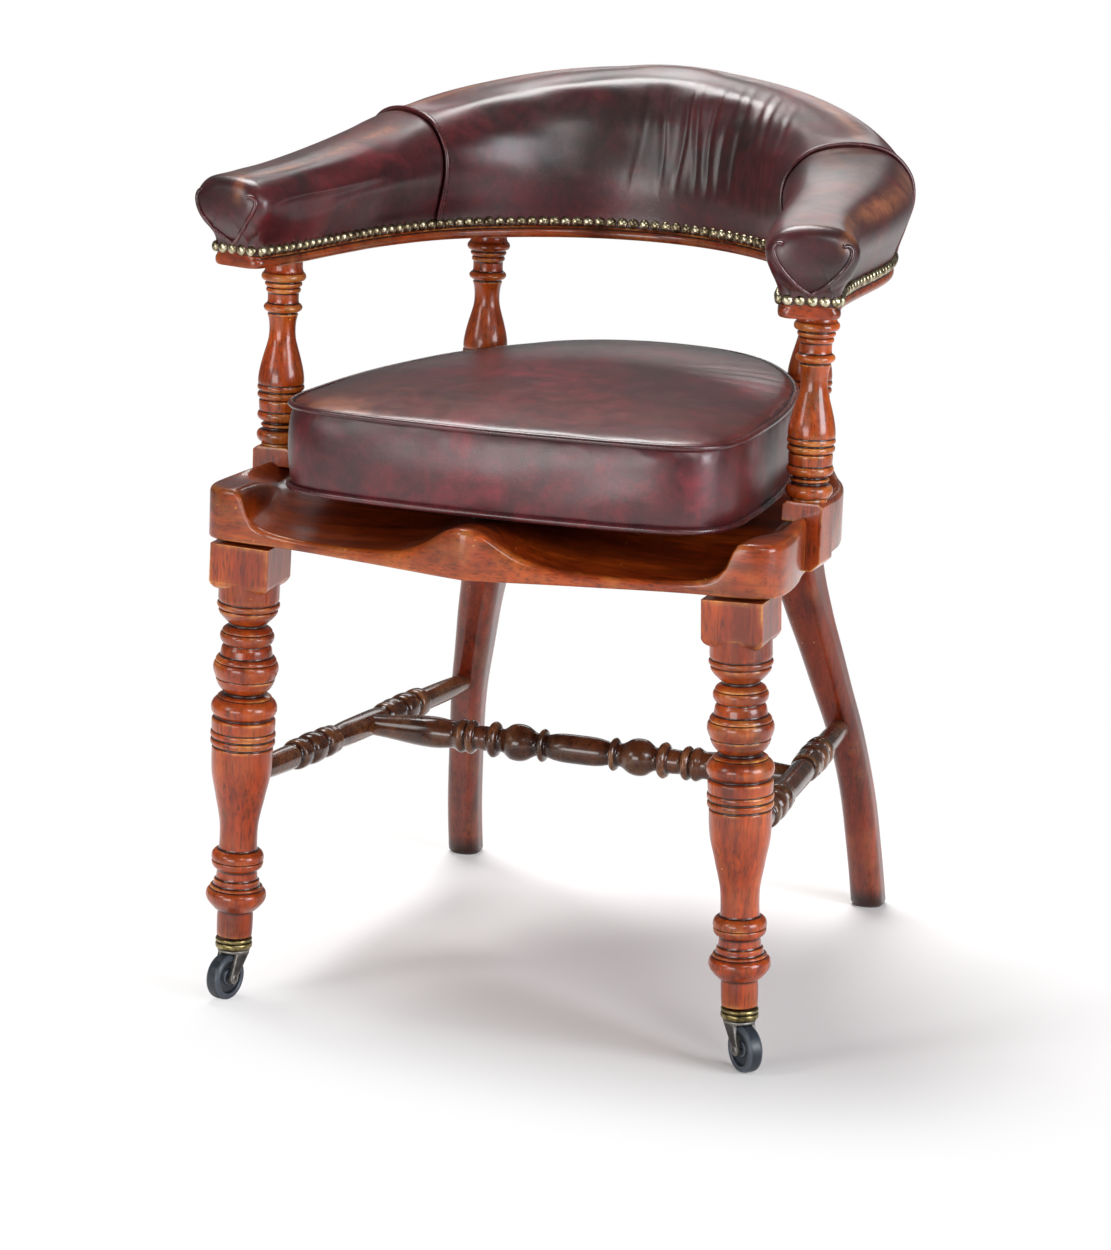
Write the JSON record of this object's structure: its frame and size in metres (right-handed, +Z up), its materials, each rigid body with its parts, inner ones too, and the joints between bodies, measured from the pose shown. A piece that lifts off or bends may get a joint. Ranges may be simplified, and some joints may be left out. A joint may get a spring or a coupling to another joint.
{
  "type": "captains chair",
  "caption": "Horseshoe-back desk armchair: leather roll on a mahogany bow, turned spindles, dished seat with loose cushion, turned castored front legs, sabre rear legs.",
  "frame": {"origin": "middle of the chair's plan at floor level", "axes": "+Z up, -Y the way the sitter faces, +X across to the arm on the right as seen from the front"},
  "size_m": [0.5558, 0.5532, 0.7386],
  "materials": {
    "mahogany": "worn french-polished mahogany, red-brown with an orange glow",
    "dark_mahogany": "dark worn polish",
    "core_wood": "plain unpolished wood",
    "leather": "burgundy antiqued hide with a soft sheen",
    "leather_piping": "burgundy hide cord",
    "antique_brass": "antiqued, domed heads",
    "old_brass": "tarnished olive brass",
    "dark_iron": "dark worn iron",
    "wheel_black": "blue-black painted"
  },
  "bodies": {
    "chair": {"seat": "mahogany", "front_leg_left": "mahogany", "front_leg_right": "mahogany", "rear_leg_left": "mahogany", "rear_leg_right": "mahogany", "front_spindle_left": "mahogany", "front_spindle_right": "mahogany", "rear_spindle_left": "mahogany", "rear_spindle_right": "mahogany", "bow_rail_left": "mahogany", "bow_rail_right": "mahogany", "side_stretcher_left": "dark_mahogany", "side_stretcher_right": "dark_mahogany", "cross_stretcher": "dark_mahogany", "rail_dowel": "core_wood", "back_core": "core_wood", "arm_core_left": "core_wood", "arm_core_right": "core_wood", "nail_row_left": "antique_brass", "nail_row_right": "antique_brass", "castor_ring_left": "old_brass", "castor_ring_right": "old_brass", "back_pad": "leather", "arm_pad_left": "leather", "arm_pad_right": "leather", "arm_end_panel_left": "leather", "arm_end_panel_right": "leather", "seam_piping_left": "leather_piping", "seam_piping_right": "leather_piping", "end_piping_left": "leather_piping", "end_piping_right": "leather_piping"},
    "castor_left": {"castor_horn_left": "dark_iron", "castor_rivet_left": "dark_iron"},
    "castor_right": {"castor_horn_right": "dark_iron", "castor_rivet_right": "dark_iron"},
    "wheel_left": {"castor_wheel_left": "wheel_black"},
    "wheel_right": {"castor_wheel_right": "wheel_black"},
    "cushion": {"cushion": "leather", "cushion_piping_bottom": "leather_piping", "cushion_piping_top": "leather_piping"}
  },
  "joints": [
    {"name": "castor_swivel_left", "type": "hinge", "parent": "chair", "child": "castor_left", "pos_m": [-0.21952, -0.204, 0.042], "axis": [0, 0, 1], "continuous": true},
    {"name": "castor_swivel_right", "type": "hinge", "parent": "chair", "child": "castor_right", "pos_m": [0.21952, -0.204, 0.042], "axis": [0, 0, 1], "continuous": true},
    {"name": "wheel_spin_left", "type": "hinge", "parent": "castor_left", "child": "wheel_left", "pos_m": [-0.22228, -0.21465, 0.019], "axis": [0.9681, -0.2504, 0], "continuous": true},
    {"name": "wheel_spin_right", "type": "hinge", "parent": "castor_right", "child": "wheel_right", "pos_m": [0.22763, -0.21143, 0.019], "axis": [0.6756, 0.7373, 0], "continuous": true},
    {"name": "cushion_lift", "type": "slide", "parent": "chair", "child": "cushion", "axis": [0, 0.0314, 0.9995], "range_m": [0, 0.08]}
  ]
}
